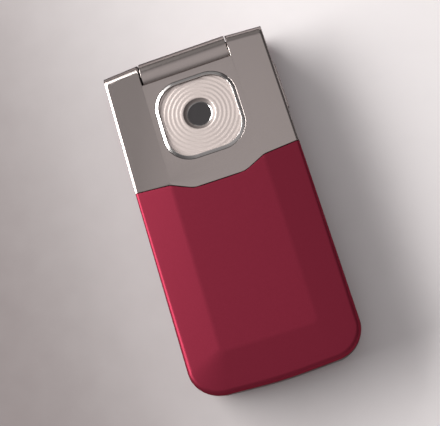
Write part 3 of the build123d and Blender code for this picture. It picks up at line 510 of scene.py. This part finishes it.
def end_outline(half, low, radius):
    """Side, corner arc, end, corner arc and side of the free end at one level; the points of a side still
    lie together, where its arc starts"""
    turn = np.linspace(math.pi, 1.5 * math.pi, arc_steps)[1:]
    side = np.tile([-half, low + radius], (side_steps, 1))
    arc = np.stack([-half + radius + radius * np.cos(turn), low + radius + radius * np.sin(turn)], axis=-1)
    end_x = (half - radius) * np.linspace(-1, 1, end_steps)[1:-1]
    end = np.stack([end_x, np.full(len(end_x), low)], axis=-1)
    mirror = np.array([-1, 1])
    return np.vstack([side, arc, end, (arc * mirror)[::-1], (side * mirror)[::-1]])


def cover_section(facet_run, rim_radius):
    """Distance in from the rim, and height, of the cover's rows in each column: up the wall, round the rim
    on an arc that touches wall and facet, up the facet, over its crease on a parabola, and level to the
    middle"""
    slope = facet_drop / facet_run
    sweep = math.pi / 2 - np.arctan(slope)
    round_low = rim_z - rim_radius * np.tan(sweep / 2)
    round_share = np.linspace(0, 1, round_steps)[:, None]
    flat_share = np.linspace(0, 1, flat_steps)[1:, None]
    wall_share = np.array([[0.0], [0.5]])

    wall_run = np.zeros((len(wall_share), len(facet_run)))
    wall_height = wall_low + wall_share * (round_low - wall_low)
    round_run = rim_radius * (1 - np.cos(round_share * sweep))
    round_height = round_low + rim_radius * np.sin(round_share * sweep)
    facet_start = round_run[-1]
    on_facet = facet_start + flat_share * (facet_run - crease_half - facet_start)
    on_crease = facet_run - crease_half + round_share[1:] * 2 * crease_half
    on_plateau = facet_run + crease_half + flat_share * (plateau_half - crease_half)
    crease_height = plateau_z - slope * (facet_run + crease_half - on_crease) ** 2 / (4 * crease_half)
    run = np.vstack([wall_run, round_run, on_facet, on_crease, on_plateau])
    height = np.vstack([wall_height, round_height, rim_z + slope * on_facet, crease_height,
                        np.full(on_plateau.shape, plateau_z)])
    return run, height


def battery_cover():
    """Sheet over the back: each row runs from one end of the seam down a side, round the free end and up
    again, and the rows go from the rim's outline to the plateau's, and from there to the middle line"""
    rim = end_outline(half_width, free_end, corner_radius)
    plateau = end_outline(plateau_half, plateau_end, plateau_corner)
    middle = np.array([0.0, plateau_end + plateau_half])
    left = np.arange(side_steps)
    right = len(rim) - 1 - left
    side_share = np.linspace(0, 1, side_steps)

    facet_run = np.linalg.norm(plateau - rim, axis=1)
    facet_run[left] = facet_run[right] = half_width - plateau_half
    rim_radius = np.full(len(rim), end_rim_radius)
    rim_radius[left] = rim_radius[right] = np.interp(side_share, (0, 1), (seam_rim_radius, end_rim_radius))
    run, height = cover_section(facet_run, rim_radius)
    facet_share = np.clip(run / facet_run, 0, 1)[..., None]
    plateau_share = np.clip((run - facet_run) / plateau_half, 0, 1)[..., None]
    plan = rim + facet_share * (plateau - rim) + plateau_share * (middle - plateau)
    start = seam_line(plan[..., 0]) - seam_gap
    for side in (left, right):
        plan[:, side, 1] = start[:, side] + side_share * (plan[:, side, 1] - start[:, side])

    piece = surface("red_battery_cover", bowed(np.concatenate([plan, height[..., None]], axis=-1)))
    wall = piece.modifiers.new("wall", "SOLIDIFY")
    wall.thickness = cover_wall
    wall.offset = -1
    return round_edges(piece, cover_edge, limit_method="ANGLE", angle_limit=cover_edge_bend)


def camera_bezel():
    """Closed rim section carried round a rounded square: up the outer wall, over a small chamfer, up a flat
    slope, over a round crest and down inside"""
    turn = np.linspace(crest_turn, 0, crest_steps)
    foot = [(0.0, -bezel_depth), (0.0, bezel_foot), (bezel_chamfer, bezel_foot + bezel_chamfer)]
    crest_x = bezel_rim - crest_radius + crest_radius * np.cos(turn)
    crest_z = bezel_rise - crest_radius + crest_radius * np.sin(turn)
    section = np.vstack([foot, np.stack([crest_x, crest_z], axis=-1), [(bezel_rim, -bezel_depth)]])
    points = on_seat(raised(rounded_ring(bezel_half, bezel_radius, section[:, 0]), section[:, 1]))
    piece = surface("camera_bezel_trim", points, closed_rows=True, closed_columns=True)
    return weighted_shading(outward(piece))


def ripple_plate():
    """Plate of round ripples cut off by the bezel's inner outline: along each ray the height is a shallow
    dome less a cosine of the distance from the lens, rounded off at the funnel, and rays stop at the
    outline"""
    outline = rounded_ring(bezel_half, bezel_radius, [bezel_rim + ripple_clearance])[0]
    outline = outline - np.array([0.0, lens_lead])
    closed = np.vstack([outline, outline[:1]])
    share = np.linspace(0, len(outline), rays_a_point * len(outline), endpoint=False)
    edge_x, edge_y = (np.interp(share, np.arange(len(closed)), place) for place in closed.T)
    reach = np.hypot(edge_x, edge_y)
    ray = np.stack([edge_x / reach, edge_y / reach], axis=-1)
    step = ripple_pitch / steps_a_ripple
    level = np.arange(ring_outer, reach.max() + step, step)
    away = np.minimum(level[:, None], reach)
    wave = (1 - np.cos(2 * math.pi * (away - ripple_start) / ripple_pitch)) / 2
    dip = np.where(away > ripple_start, ripple_depth * wave, 0)
    lip = ring_lip * np.clip((ripple_start - away) / (ripple_start - ring_outer), 0, 1) ** 2
    dome = ripple_dome * (away / ripple_reach) ** 2
    top = np.concatenate([away[..., None] * ray, (ripple_top - dip - lip - dome)[..., None]], axis=-1)
    bottom = top[[-1, 0]].copy()
    bottom[..., 2] = ripple_floor
    points = on_seat(np.vstack([top, bottom]), lens_lead)
    return outward(surface("camera_ripples", points, closed_rows=True, closed_columns=True))


def turned_ring(name, profile):
    """Closed ring turned about the lens axis from the rows of its profile"""
    points = on_seat(lathe(profile, ring_turn_steps), lens_lead)
    return sharp_shading(outward(surface(name, points, closed_rows=True, closed_columns=True)))


def lens_ring():
    """Funnel about the lens axis: a hollow curve from the plate's lip down to the polished step, steep at
    first and flatter towards the glass"""
    share = np.linspace(0, 1, ring_steps)
    high = ripple_top - ring_lip - ripple_dome * (ring_outer / ripple_reach) ** 2
    radius = ring_outer + (step_outer - ring_outer) * share
    height = step_top + (high - step_top) * (1 - share) ** ring_hollow
    curve = np.stack([radius, height], axis=-1)
    return turned_ring("lens_funnel", np.vstack([[(ring_outer, -bezel_depth)], curve,
                                                 [(step_outer, -bezel_depth)]]))


def lens_step():
    """Thin polished cone round the glass, on a plain foot"""
    return turned_ring("lens_step", [(step_outer, step_top), (window_radius, window_edge),
                                     (window_radius, -bezel_depth), (step_outer, -bezel_depth)])


def lens_window():
    """Disc of glass whose top is a parabola turned about the lens axis, closed by poles"""
    share = np.linspace(1, 0, window_steps)
    dome = np.stack([window_radius * share, window_edge + window_dome * (1 - share ** 2)], axis=-1)
    profile = np.vstack([[(0.0, -bezel_depth), (window_radius, -bezel_depth)], dome])
    points = on_seat(lathe(profile, window_turn_steps), lens_lead)
    return sharp_shading(outward(surface("lens_glass", points, closed_columns=True)))


def key_plan(low, high):
    """Middle of a key's box in plan, and its half sizes across and along"""
    middle = np.array([(low.x + high.x) / 2, (low.y + high.y) / 2, 0.0])
    return middle, ((high.x - low.x) / 2, (high.y - low.y) / 2)


def key_side(low, high, crown):
    """Insets and heights down a key's side: flange, wall, and a quarter round that ends a crown short of
    the face"""
    over = np.linspace(0, math.pi / 2, key_edge_steps)
    flange_z = high.z - key_flange_thickness
    inset = np.concatenate([[0, 0, key_flange], key_flange + key_edge * (1 - np.cos(over))])
    height = np.concatenate([[high.z, flange_z, flange_z], low.z + crown + key_edge * (1 - np.sin(over))])
    return inset, height


def key_top(node):
    """Key carried round its rounded outline: flange, wall, rounded edge and a crown that falls from the
    middle as the square of the distance"""
    low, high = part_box(node)
    middle, half = key_plan(low, high)
    inset, height = key_side(low, high, key_crown)
    ring = rounded_ring(half, key_corner, inset)
    share = np.linspace(1, 0, key_crown_steps)[1:, None, None]
    plan = np.concatenate([ring[:1] * 0, ring, ring[-1:] * share])
    level = np.concatenate([[high.z], height, low.z + key_crown * share[:, 0, 0] ** 2])
    return outward(surface(node + "_top", raised(plan, level) + middle, closed_columns=True))


def nav_ring_top():
    """Square ring key: a closed section, carried round, with a rounded outer edge and a slope to the select
    key"""
    low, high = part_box("nav_ring")
    middle, half = key_plan(low, high)
    select_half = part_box("select_key")[1].x - key_flange
    width = half[0] - (select_half + nav_gap)
    inset, height = key_side(low, high, 0.0)
    inset = np.append(inset, [width - nav_slope_width, width, width])
    height = np.append(height, [low.z + nav_slope_start, low.z + nav_slope_end, high.z])
    points = raised(rounded_ring(half, nav_corner, inset), height) + middle
    return outward(surface("nav_ring_top", points, closed_rows=True, closed_columns=True))


def sign_mesh(name, sign):
    """Mesh of a sign's outline that lies flat, with two faces and side walls"""
    curve = bpy.data.curves.new(name, "FONT")
    curve.body = sign
    curve.align_x = "CENTER"
    curve.align_y = "CENTER"
    curve.size = digit_height / figure_height_share
    curve.extrude = print_height
    curve.resolution_u = print_steps
    holder = bpy.data.objects.new(name, curve)
    bpy.context.scene.collection.objects.link(holder)
    bpy.context.view_layer.update()
    mesh = bpy.data.meshes.new_from_object(holder.evaluated_get(bpy.context.evaluated_depsgraph_get()))
    bpy.data.objects.remove(holder)
    return mesh


def printed_mark(key, sign):
    """Digit or sign laid on a key's face: its outline, mirrored because the face looks down, follows the
    key's crown and stands a hair proud of it"""
    mesh = sign_mesh(key + "_sign", sign)
    low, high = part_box(key)
    key_middle, key_half = key_plan(low, high)
    points = mesh_points(mesh)
    flat = points - (points.min(axis=0) + points.max(axis=0)) / 2
    placed = flat * np.array([-1, 1, 1]) + key_middle
    placed[:, 2] += low.z + key_crown * (np.hypot(flat[:, 0], flat[:, 1]) / key_half[0]) ** 2
    mesh.vertices.foreach_set("co", placed.ravel())
    work = bmesh.new()
    work.from_mesh(mesh)
    bmesh.ops.remove_doubles(work, verts=work.verts, dist=print_merge)
    work.to_mesh(mesh)
    work.free()
    piece = bpy.data.objects.new(key + "_mark", mesh)
    bpy.context.scene.collection.objects.link(piece)
    return outward(piece)


fit(battery_cover(), "battery_cover", "red_cover", "battery_cover")
fit(camera_bezel(), "base", "chrome_trim", "camera_bezel")
fit(ripple_plate(), "base", "pearl_plate", "camera_ripple_plate")
fit(lens_ring(), "base", "grey_ring", "camera_lens_ring")
fit(lens_window(), "base", "dark_glass", "camera_window")
fit(lens_step(), "base", "chrome_trim")

# Shells that keep their node's form: name, node, body, slot, rounding of sharp edges and width of creases
shells = (
    ("silver_rear_plate", "rear_plate", "base", "silver_plate", 0.18 * mm, 0.5 * mm),
    ("hinge_barrel_shell", "hinge_barrel", "lid", "silver_barrel", 0.2 * mm, 0.0),
    ("base_frame_shell", "base_frame", "base", "graphite_plastic", 0.1 * mm, 0.0),
    ("lid_housing_shell", "lid_housing", "lid", "graphite_plastic", 0.1 * mm, 0.0),
    ("lid_cover_shell", "lid_cover", "lid", "red_cover", 0.1 * mm, 0.6 * mm),
    ("keypad_sheet", "keypad_panel", "base", "graphite_plastic", 0.08 * mm, 0.0),
    ("volume_rocker", "volume_key", "volume_key", "silver_plate", 0.1 * mm, 0.0),
    ("display_pane", "display_glass", "lid", "dark_glass", 0.1 * mm, 0.0),
    ("lid_pane", "lid_window", "lid", "dark_glass", 0.1 * mm, 0.0),
    ("charger_socket", "charger_jack", "base", "black_plastic", 0.05 * mm, 0.0),
)
for shell, node, body, slot, rounding, crease in shells:
    fit(soft_copy(shell, node, rounding, crease), body, slot, node)

# Keys, each on its own body, and the signs on the number keys
fit(nav_ring_top(), "nav_ring", "key_plastic", "nav_ring")
number_signs = {"key_" + name: name for name in "1234567890"} | {"key_star": "*", "key_hash": "#"}
for key in ["select_key", "softkey_left", "softkey_right", "call_key", "end_key", *number_signs]:
    fit(key_top(key), key, "key_plastic", key)
for key, sign in number_signs.items():
    fit(printed_mark(key, sign), key, "black_plastic")


def pale_floor():
    """Wide sheet of pale matt paper under the phone, with painted shade that greys it towards the lamp's
    side, and a faint mottling
    """
    half_side = 3.0
    mottle_size, mottle_detail, mottle_share = 9 * mm, 4.0, 0.04
    # Painted shade: along this heading the paper's colour runs from a painted grey on the lamp's side to its
    # own pale colour
    painted_shade_heading = (0.995, 0.1, 0.0)
    painted_shade_until, painted_shade_end = -85 * mm, 45 * mm
    corner = np.array([-half_side, half_side])
    x, y = np.meshgrid(corner, corner, indexing="ij")
    piece = surface("floor", np.stack([x, y, 0 * x], axis=-1))
    material, tree, shader = start_material("pale_paper", {"Specular IOR Level": 0.15, "Roughness": 0.8})
    place = add_node(tree, "TexCoord").outputs["Object"]
    mottle = add_node(tree, "TexNoise", {"Vector": place, "Scale": 1 / mottle_size, "Detail": mottle_detail})
    along = add_node(tree, "VectorMath", {0: place, 1: painted_shade_heading}, operation="DOT_PRODUCT")
    painted_shade_blend = add_node(tree, "MapRange", {"Value": along.outputs["Value"], "From Min": painted_shade_until,
                                        "From Max": painted_shade_end}, interpolation_type="SMOOTHSTEP")
    drift = add_node(tree, "MapRange", {"Value": mottle.outputs["Fac"], "To Min": -mottle_share,
                                        "To Max": mottle_share})
    share = add_node(tree, "Math", {0: painted_shade_blend.outputs["Result"], 1: drift.outputs["Result"]}, operation="ADD",
                     use_clamp=True)
    # Painted shade in grey where the blend is low, the paper's own pale colour where it is high
    shade = add_node(tree, "Mix", {mix_share: share.outputs["Value"], mix_first: linear("#938B8B"),
                                   mix_second: linear("#F5F1F2")}, data_type="RGBA")
    tree.links.new(shade.outputs[mix_result], shader.inputs["Base Color"])
    piece.data.materials.append(material)


def soft_lamp(name, bearing, size, power):
    """Area lamp low above the floor, in a direction given across and along, with its face turned to the
    phone"""
    distance = 1.2
    rise_angle = math.radians(25)
    flat = distance * math.cos(rise_angle)
    data = bpy.data.lights.new(name, "AREA")
    data.shape = "RECTANGLE"
    data.size, data.size_y = size
    data.energy = power
    data.color = linear("#FFFDFB")[:3]
    lamp = bpy.data.objects.new(name, data)
    lamp.location = (bearing[0] * flat, bearing[1] * flat, distance * math.sin(rise_angle))
    lamp.rotation_euler = (-lamp.location).to_track_quat("-Z", "Y").to_euler()
    bpy.context.scene.collection.objects.link(lamp)


def room():
    """Room that is bright overhead and a little to the right, paler beyond the free end, dark low down
    elsewhere, and plain and pale where the camera looks past the floor"""
    overhead = (0.12, 0.1, 0.985)
    overhead_from, overhead_full = 0.66, 0.97
    beyond_free_end = (0.0, -1.0, 0.0)
    beyond_from, beyond_full, beyond_share = 0.3, 0.9, 0.45
    world = bpy.data.worlds.new("room")
    bpy.context.scene.world = world
    world.use_nodes = True
    tree = world.node_tree
    facing = add_node(tree, "TexCoord").outputs["Generated"]
    upward = add_node(tree, "VectorMath", {0: facing, 1: overhead}, operation="DOT_PRODUCT")
    high_share = add_node(tree, "MapRange", {"Value": upward.outputs["Value"], "From Min": overhead_from,
                                             "From Max": overhead_full}, interpolation_type="SMOOTHSTEP")
    ahead = add_node(tree, "VectorMath", {0: facing, 1: beyond_free_end}, operation="DOT_PRODUCT")
    front_share = add_node(tree, "MapRange", {"Value": ahead.outputs["Value"], "From Min": beyond_from,
                                              "From Max": beyond_full, "To Max": beyond_share},
                           interpolation_type="SMOOTHSTEP")
    pale_share = add_node(tree, "Math", {0: high_share.outputs["Result"], 1: front_share.outputs["Result"]},
                          operation="MAXIMUM")
    shade = add_node(tree, "Mix", {mix_share: pale_share.outputs["Value"], mix_first: linear("#5F5D5D"),
                                   mix_second: linear("#D1CDCD")}, data_type="RGBA")
    camera_ray = add_node(tree, "LightPath").outputs["Is Camera Ray"]
    seen = add_node(tree, "Mix", {mix_share: camera_ray, mix_first: shade.outputs[mix_result],
                                  mix_second: linear("#E9E6E6")}, data_type="RGBA")
    tree.links.new(seen.outputs[mix_result], tree.nodes["Background"].inputs["Color"])


def photo_camera():
    """Camera above the free end, rolled so that the phone leans in the picture"""
    picture_width, focal_pixels = 440, 900
    place = Vector((15.2, -54.06, 246.43)) * mm
    aim = Vector((-2.631, -1.45, 15.7)) * mm
    roll = math.radians(16.98)
    data = bpy.data.cameras.new("camera")
    data.sensor_width = 36.0
    data.lens = data.sensor_width * focal_pixels / picture_width
    data.clip_start = 10 * mm
    forward = (aim - place).normalized()
    right = forward.cross(Vector((math.sin(roll), math.cos(roll), 0.0))).normalized()
    turn = Matrix((right, right.cross(forward), -forward)).transposed()
    camera = bpy.data.objects.new("camera", data)
    camera.matrix_world = Matrix.Translation(place) @ turn.to_4x4()
    bpy.context.scene.collection.objects.link(camera)
    bpy.context.scene.camera = camera


pale_floor()

# Window-like light from the left and dim panes beyond the hinge: sizes in metres, powers in watts
soft_lamp("window_light", bearing=(-0.865, 0.502), size=(1.5, 0.55), power=30.0)
soft_lamp("side_pane", bearing=(-0.309, 0.951), size=(0.22, 0.48), power=0.45)
soft_lamp("hinge_glow", bearing=(0.0, 1.0), size=(1.0, 0.6), power=0.4)
room()
photo_camera()
bpy.context.scene.view_settings.view_transform = "Standard"
